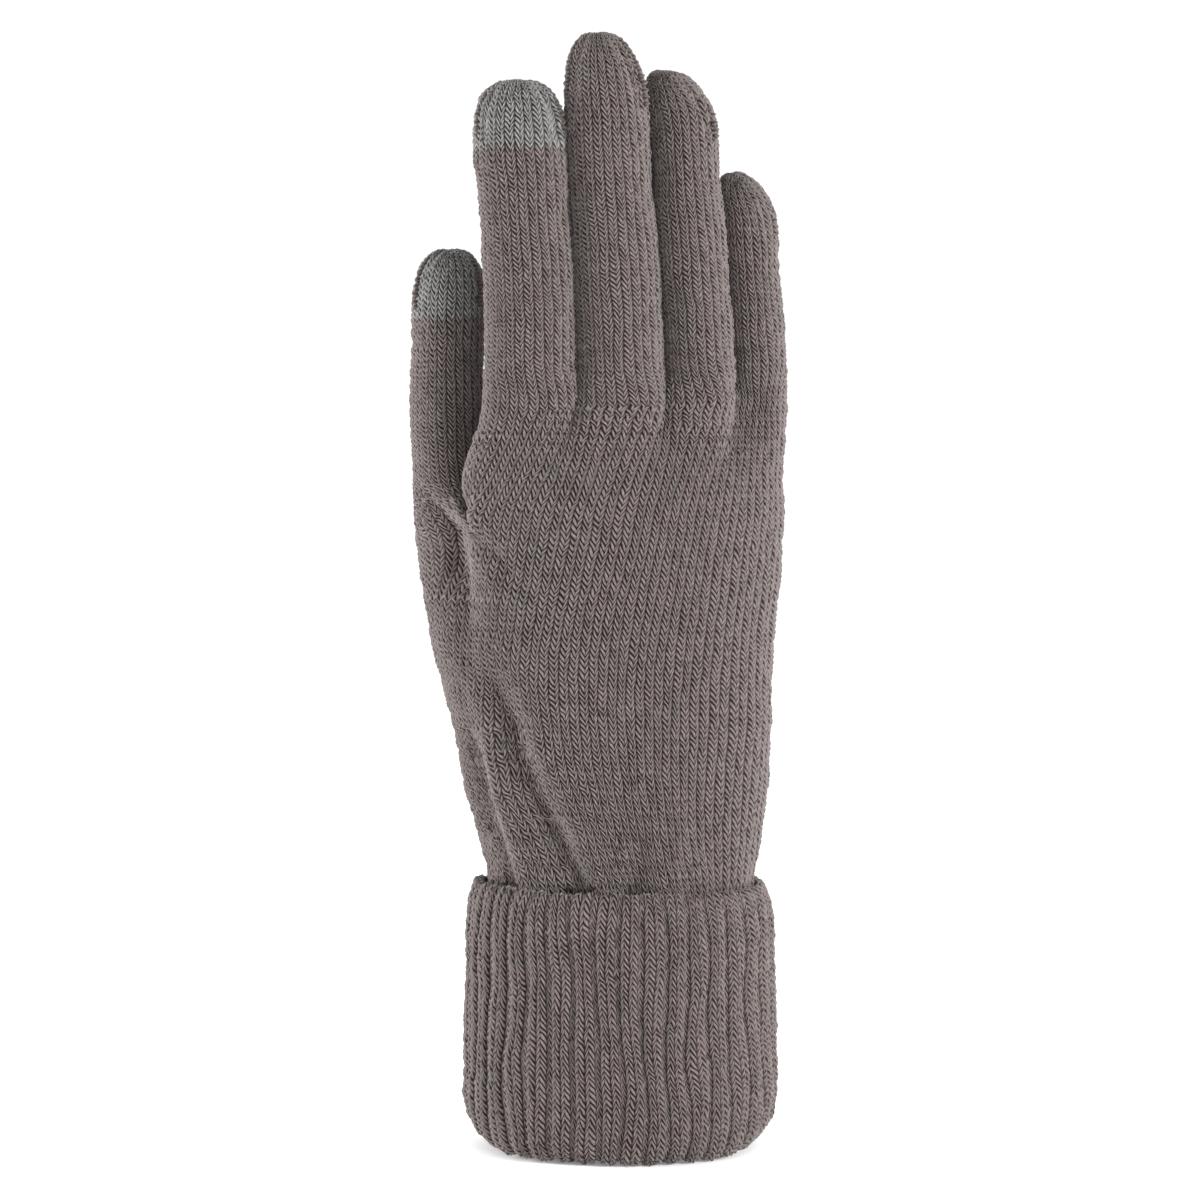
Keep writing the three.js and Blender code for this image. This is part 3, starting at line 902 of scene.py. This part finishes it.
top_row = high_rows[-1]
finger_rows, finger_runs = {}, {}
for i, name in enumerate(FINGERS):
    back_run, palm_run = take(top_row, high_runs[i]), take(top_row, high_runs[8 - i])
    right_wales = EDGE_WALES if i == 3 else GUSSET_WALES
    left_wales = WEB_WALES if i == 0 else GUSSET_WALES
    right_run = take(top_row, high_runs[4]) if i == 3 else web_line(back_run[-1], palm_run[0], right_wales)
    left_run = take(top_row, high_runs[9]) if i == 0 else web_line(palm_run[-1], back_run[0], left_wales)
    counts = [BACK_WALES[name], right_wales, PALM_WALES[name], left_wales]
    total = sum(counts)
    heights = course_heights(name)
    turned = INDEX_TURN if i == 0 else 0.0
    target = digit_rows(name, heights, total, 0.75 * total - BACK_WALES[name] / 2 + turned)
    start = join([back_run, right_run, palm_run, left_run])
    finger_rows[name] = grown_from(start, target, heights, CROTCH, FINGER_GROWN)
    finger_runs[name] = runs_of(counts)

above_low = rest_of_loop(join([take(high_rows[1:CONTEXT], (0, high_runs[8][1])),
                               take(thumb_rows[1:CONTEXT], thumb_runs[0])]))
order = [(n, 0) for n in FINGERS] + [("little", 1)] + [(n, 2) for n in FINGERS[::-1]] + [("index", 3)]
above_high = rest_of_loop(join([take(finger_rows[n][1:CONTEXT], finger_runs[n][k]) for n, k in order]))


def fresh_columns(runs, which, total):
    """1 on the columns that start at a crotch, and 0 on those that run on from below."""
    out = np.zeros(total)
    for i in which:
        out[runs[i][0] + 1:runs[i][1]] = 1.0
    return out


# ---- The glove's pieces ----
def hand_pieces():
    low = Knit(np.concatenate([low_rows, above_low]), hand_folds)
    count = len(low_rows) - 1
    split = count // 2 // ALONG * ALONG
    fresh = fresh_columns(high_runs, [9], high_rows.shape[1])
    high = Knit(np.concatenate([high_rows, above_high]), hand_folds, first_row=count, fade_in=fresh)
    for name, knit, first, last in (("hand_heel_knit", low, 0, split),
                                    ("hand_middle_knit", low, split, count),
                                    ("hand_knuckle_knit", high, 0, len(high_rows) - 1)):
        knit.piece(name, first, last, JERSEY, "hand", "hand_body", "jersey", seed=3)


def digit_pieces(name, rows, runs, fresh_runs):
    digit = DIGITS[name]
    root, bend, touch = digit["root"], digit["bend"], digit["touch"]
    fresh = fresh_columns(runs, fresh_runs, rows.shape[1])
    knit = Knit(rows, digit_folds, fade_in=fresh, fade_out=True)
    heights = rows[:, 0, 2]
    span = bend - root

    def row_at(z):
        return int(round(np.interp(z, heights, np.arange(len(heights))) / ALONG)) * ALONG

    middle = along(digit["sections"], [root, bend])
    at_root, at_bend = (np.array([x, y]) * MM for x, y in middle[:, :2])
    knuckle = ("hand", f"{name}_lower", (*at_root, root * MM), (*at_root, (root + 0.55 * span) * MM))
    joint = (f"{name}_lower", f"{name}_upper", (*at_bend, (bend - 0.24 * span) * MM),
             (*at_bend, (bend + 0.24 * span) * MM))
    split = row_at(root + 0.65 * span)
    last = len(rows) - 1
    knit.piece(f"{name}_root_knit", 0, split, JERSEY, knuckle, f"{name}_lower", "jersey", seed=5)
    if touch:
        tip = row_at(touch)
        knit.piece(f"{name}_end_knit", split, tip, JERSEY, joint, f"{name}_upper", "jersey", seed=5)
        knit.piece(f"{name}_touch_knit", tip, last, TOUCH, f"{name}_upper", f"{name}_touch_tip",
                   "touch_yarn", cap=True, seed=5)
    else:
        knit.piece(f"{name}_end_knit", split, last, JERSEY, joint, f"{name}_upper", "jersey",
                   cap=True, seed=5)


# ---- The cuff ----
CUFF_HALF = (29.2, 19.5)  # half width and half depth of the wrist, which every offset below is added to
RIBS = 36
RIB_COLUMNS = 13  # two wales, and a groove of one purl wale drawn together to half a wale's width
RIB_DEPTH = 0.80  # how far the groove between two ribs is drawn in
RIB_CROWN = 0.45  # how far a rib's two sides fall away from its middle
CUFF_COURSE = 1.36
SIDE_LIFT = 2.6  # how much higher the fold lies at the two sides of the wrist
SIDE_PULL = 2.4  # and how far it is pulled in there
FOLD_HEIGHT = 16  # height below which both happen
# The turned-up layer as (offset outwards, height), from inside the wrist round the fold and up to the rolled
# edge, which ends tucked behind the layer.
TURN_UP = [(-1.9, 9.0), (-2.1, 4.6), (-1.5, 1.7), (0.4, 0.2), (2.7, 0.3), (4.5, 1.8), (5.5, 4.6), (5.8, 9.0),
           (5.7, 15.0), (5.2, 30.0), (4.8, 44.0), (4.75, 49.5), (4.5, 53.2), (3.9, 56.2), (3.1, 58.3),
           (2.2, 59.2), (1.6, 58.6), (1.5, 57.0), (1.7, 54.5)]
INNER_LAYER = [(-1.6, 60.5), (-1.6, 40.0), (-1.6, 20.0), (-1.6, 3.5)]


def cuff_profile(points, course):
    """Points along a smooth curve through the profile, one for each mesh row."""
    knots = running([math.dist(a, b) for a, b in zip(points, points[1:])])
    table = np.column_stack([knots, points])
    fine = np.linspace(0, knots[-1], 1500)
    curve = along(table, fine)
    arc = running(np.hypot(*np.diff(curve, axis=0).T))
    courses = int(arc[-1] / course)
    at = np.linspace(0, arc[-1], courses * ALONG + 1)
    return np.column_stack([np.interp(at, arc, curve[:, 0]), np.interp(at, arc, curve[:, 1])])


def cuff_surface(profile):
    """Rows of the ribbed cuff. The fold lies higher and rounder at the two sides, and the ribs waver."""
    columns = np.arange(RIBS * RIB_COLUMNS + 1) / (RIBS * RIB_COLUMNS)
    turn = np.linspace(0, math.tau, 2001)
    wide, deep = CUFF_HALF[0] + 4, CUFF_HALF[1] + 4
    arc = running(np.hypot(np.diff(wide * np.cos(turn)), np.diff(deep * np.sin(turn))))
    out, z = profile[:, :1], profile[:, 1:]
    round_ = arc[-1]
    around = round_ * columns[None, :-1]
    waver = 0.6 * waves(around, z, 21, 7, 0.01, 0.05) + 0.34 * waves(around, 0.35 * z, 22, 9, 0.06, 0.16)
    waver = waver * smooth(out, 0, 4) * (smooth(columns, 0, 0.05) * smooth(1 - columns, 0, 0.05))[None, :-1]
    waver = np.concatenate([waver, waver[:, :1]], axis=1)
    theta = np.interp((columns[None, :] * round_ + waver) % round_, arc, turn)
    side = np.abs(np.cos(theta)) ** 6
    low = np.clip(1 - z / FOLD_HEIGHT, 0, 1)
    unlevel = 0.25 * waves(30 * np.cos(theta), 30 * np.sin(theta), 5, 5, 0.01, 0.04)
    lifted = z + SIDE_LIFT * side * low + unlevel
    outwards = out - SIDE_PULL * side * low**2 * smooth(out, 0, 3)
    x, y = (CUFF_HALF[0] + outwards) * np.cos(theta), (CUFF_HALF[1] + outwards) * np.sin(theta)
    return np.stack([x - 0.4, y, np.maximum(lifted, 0.0)], axis=2)


def rib_columns():
    """Where each mesh column of the cuff lies in the pattern, in wales, and how far it is drawn in."""
    place = np.arange(RIBS * RIB_COLUMNS + 1)
    rib, column = place // RIB_COLUMNS, place % RIB_COLUMNS
    knit = 2 * ACROSS
    purl = np.maximum(column - knit, 0) / (RIB_COLUMNS - knit)
    wales = 3.0 * rib + np.minimum(column, knit) / ACROSS + purl
    crown = RIB_CROWN * np.abs(2 * np.minimum(column, knit) / knit - 1) ** 3
    groove = np.sin(math.pi * purl)
    return wales, -crown - (RIB_DEPTH - RIB_CROWN) * groove**0.7


def ribs(rows, drawn, strength):
    """How far every point of the cuff moves along its normal."""
    return drawn[None, :] * strength[:, None] + 0.2 * waves(rows[..., 0], rows[..., 2], 8, 6, 0.02, 0.07)


def cuff_pieces():
    wales, drawn = rib_columns()
    profile = cuff_profile(TURN_UP, CUFF_COURSE)
    outside = np.arange(len(profile)) > np.argmax(profile[:, 0])
    strength = np.where(outside, mix(1.0, 0.35, smooth(profile[:, 1], 53, 58)), 1.0)
    knit = Knit(cuff_surface(profile), lambda rows: ribs(rows, drawn, strength), wales=wales, turned=True)
    edge = int(np.argmax(outside & (profile[:, 1] > 55.5))) // ALONG * ALONG
    middle = edge // 2 // ALONG * ALONG
    last = len(profile) - 1
    for name, first, end, node in (("cuff_fold_rib", 0, middle, "cuff_turnup"),
                                   ("cuff_turned_up_rib", middle, edge, "cuff_turnup"),
                                   ("cuff_rolled_edge", edge, last, "cuff_welt")):
        knit.piece(name, first, end, RIB, "hand", node, "rib", seed=13)
    lining = cuff_profile(INNER_LAYER, 2 * CUFF_COURSE)
    even = np.ones(len(lining))
    inside = Knit(cuff_surface(lining), lambda rows: ribs(rows, drawn, even), wales=wales)
    inside.piece("cuff_inner_rib", 0, len(lining) - 1, RIB, "hand", "cuff_inner", "rib", seed=17)


# ---- The linking threads over the tips ----
SEAM_RADIUS = 0.62
SEAM_LOOP = 1.6  # length of one loop of the linking thread
SEAM_DOWN = 2.0  # how far below the rounded tip the thread starts
SEAM_TURN = math.radians(24)  # how far the seam lies from the digit's side towards the back of the hand
CREASE = 1.5  # how far the pinched crease lies from the seam


def side_point(ring, side, turn):
    """The point of a section that lies furthest to one side, turned towards the back of the hand."""
    return ring[np.argmax(side * ring[:, 0] * math.cos(turn) - ring[:, 1] * math.sin(turn))]


def tip_rows(name, rows):
    """The rows of a digit that its seam runs over."""
    return rows[rows[:, 0, 2] > APEX[name] - DIGITS[name]["tip"] - SEAM_DOWN]


def seam_outline(name, rows):
    """The seam's line over the tip, from the digit's right-hand side over the top to its left-hand side."""
    tip = tip_rows(name, rows)
    right, left = (np.array([side_point(ring, side, SEAM_TURN) for ring in tip]) for side in (1, -1))
    top = mix(right[-1][None, :], left[-1][None, :], np.linspace(0, 1, 8)[1:-1, None])
    return np.concatenate([right, top, left[::-1]])


def seam_creases(name, rows):
    """The pinched creases beside the seam, for FOLDS: one inside its right-hand stretch, one inside its
    left."""
    tip = tip_rows(name, rows)
    creases = []
    for side, depth in ((1, 1.0), (-1, 0.5)):
        line = np.array([side_point(ring, side, SEAM_TURN) for ring in tip[:-2 * ALONG:ALONG]])[::-1]
        points = [(x - side * CREASE, z - 0.3 * CREASE) for x, _, z in line]
        creases.append((points, depth, 0.7))
    return creases


def seam_piece(name, rows):
    """A looped thread along the seam: its thickness and its place swing once in every loop, most of all down
    the digit's right-hand side."""
    outline = seam_outline(name, rows)
    arc = running(np.linalg.norm(np.diff(outline, axis=0), axis=1))
    steps = int(arc[-1] / SEAM_LOOP) * 8
    at = np.linspace(0, arc[-1], steps + 1)
    path = np.column_stack([np.interp(at, arc, outline[:, i]) for i in range(3)])
    along_path = np.gradient(path, axis=0)
    along_path /= np.linalg.norm(along_path, axis=1, keepdims=True)
    across = np.array([0.0, 1.0, 0.0])[None, :]
    outwards = np.cross(across, along_path)
    outwards /= np.linalg.norm(outwards, axis=1, keepdims=True)
    if np.dot(outwards[0], [1, 0, 0]) < 0:
        outwards = -outwards
    swing = math.tau * at / SEAM_LOOP + 0.8 * waves(at, at * 0, 31, 5, 0.05, 0.3)
    place = 2 * at / arc[-1] - 1
    side = mix(1.0, 0.6, smooth(place, -0.2, 0.2)) * np.abs(place) ** 0.8
    rough = side * (0.75 + 0.35 * waves(at, at * 0, 77, 6, 0.05, 0.25))
    ends = smooth(at, -1, 1.5) * smooth(arc[-1] - at, -1, 1.5)
    thick = SEAM_RADIUS * (0.75 + 0.45 * rough + 0.3 * rough * np.sin(swing)) * ends
    centre = path + outwards * (0.05 + 0.4 * rough + 0.3 * rough * np.sin(swing))[:, None]
    centre = centre - across * (0.25 * side + 0.3 * rough * np.cos(swing / 2))[:, None]
    sides = 8
    angles = np.arange(sides) * math.tau / sides
    cos, sin = np.cos(angles)[None, :, None], np.sin(angles)[None, :, None]
    around = cos * outwards[:, None, :] + sin * across[:, None, :]
    rings = centre[:, None, :] + thick[:, None, None] * around
    number = np.arange(len(rings) * sides).reshape(len(rings), sides)
    quads = np.concatenate([ring_quads(a, b) for a, b in zip(number, number[1:])])
    ends = [list(number[0][::-1]), list(number[-1])]
    stitches = np.append(angles / math.tau * 2, 2.0), at / 0.9, []
    obj = yarn_object(f"{name}_tip_thread", rings.reshape(-1, 3), quads, ends, stitches, THREAD)
    attach(obj, f"{name}_upper", f"{name}_tip_seam")


digits = {"thumb": thumb_rows, **finger_rows}
for name, rows in digits.items():
    FOLDS += seam_creases(name, rows)
hand_pieces()
digit_pieces("thumb", thumb_rows, thumb_runs, [1])
for i, name in enumerate(FINGERS):
    fresh = [k for k in (1, 3) if (i, k) not in ((3, 1), (0, 3))]
    digit_pieces(name, finger_rows[name], finger_runs[name], fresh)
for name, rows in digits.items():
    seam_piece(name, rows)
cuff_pieces()
for name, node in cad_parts.items():
    if name.startswith("wrist_elastic"):
        node.data.materials.clear()
        node.data.materials.append(RUBBER)


# ---- Stage, light and camera ----
def stage():
    mesh = bpy.data.meshes.new("floor")
    size = 30.0
    corners = [(-size, -size, 0), (size, -size, 0), (size, size, 0), (-size, size, 0)]
    mesh.from_pydata(corners, [], [(0, 1, 2, 3)])
    floor = placed("floor", mesh)
    floor.location.z = -0.0005
    n = Nodes("pale floor")
    mesh.materials.append(n.finish(n.add("ShaderNodeBsdfPrincipled", {
        "Base Color": (0.96, 0.96, 0.96, 1.0), "Roughness": 1.0, "Specular IOR Level": 0.0,
        "Emission Color": (1.0, 1.0, 1.0, 1.0), "Emission Strength": 0.2})))


def light(name, place, size, power):
    data = bpy.data.lights.new(name, "AREA")
    data.shape = "DISK"
    data.size = size
    data.energy = power
    lamp = placed(name, data)
    lamp.location = place
    lamp.rotation_mode = "QUATERNION"
    lamp.rotation_quaternion = (Vector((0, 0, 0.13)) - Vector(place)).to_track_quat("-Z", "Y")


BRIGHT, DIM = 1.05, 0.45  # the studio's brightness behind the glove and overhead, and in front of it
DIM_SIDE = (0.0, -1.0, 0.0)


def lights():
    """A white room that is dimmer in front of the glove, with a soft lamp to each side and one in front."""
    world = bpy.data.worlds.new("studio")
    world.use_nodes = True
    tree = world.node_tree
    place = tree.nodes.new("ShaderNodeTexCoord")
    towards = tree.nodes.new("ShaderNodeVectorMath")
    towards.operation = "DOT_PRODUCT"
    towards.inputs[1].default_value = DIM_SIDE
    strength = tree.nodes.new("ShaderNodeMapRange")
    strength.interpolation_type = "SMOOTHSTEP"
    for socket, value in ((1, 0.0), (2, 0.9), (3, BRIGHT), (4, DIM)):
        strength.inputs[socket].default_value = value
    tree.links.new(place.outputs["Generated"], towards.inputs[0])
    tree.links.new(towards.outputs["Value"], strength.inputs[0])
    tree.links.new(strength.outputs[0], tree.nodes["Background"].inputs["Strength"])
    tree.nodes["Background"].inputs["Color"].default_value = (1, 1, 1, 1)
    bpy.context.scene.world = world
    light("right softbox", (0.75, -0.60, 0.40), 0.35, 12.0)
    light("left softbox", (-0.85, -0.10, 0.25), 0.40, 8.0)
    light("front fill", (0.10, -1.0, 0.70), 0.40, 2.0)


def camera():
    """A long lens a little above the middle of the glove."""
    distance, elevation, frame_width, sensor = 0.85, math.radians(4.0), 0.2667, 36.0
    target = Vector((-0.0049, 0, 0.1222))
    data = bpy.data.cameras.new("camera")
    data.sensor_width = sensor
    data.lens = sensor * distance / frame_width
    data.clip_start = 0.05
    eye = placed("camera", data)
    offset = Vector((0, -math.cos(elevation), math.sin(elevation)))
    eye.location = target + offset * distance
    eye.rotation_mode = "QUATERNION"
    eye.rotation_quaternion = (-offset).to_track_quat("-Z", "Y")
    bpy.context.scene.camera = eye


bpy.context.scene.view_settings.view_transform = "Standard"
stage()
lights()
camera()
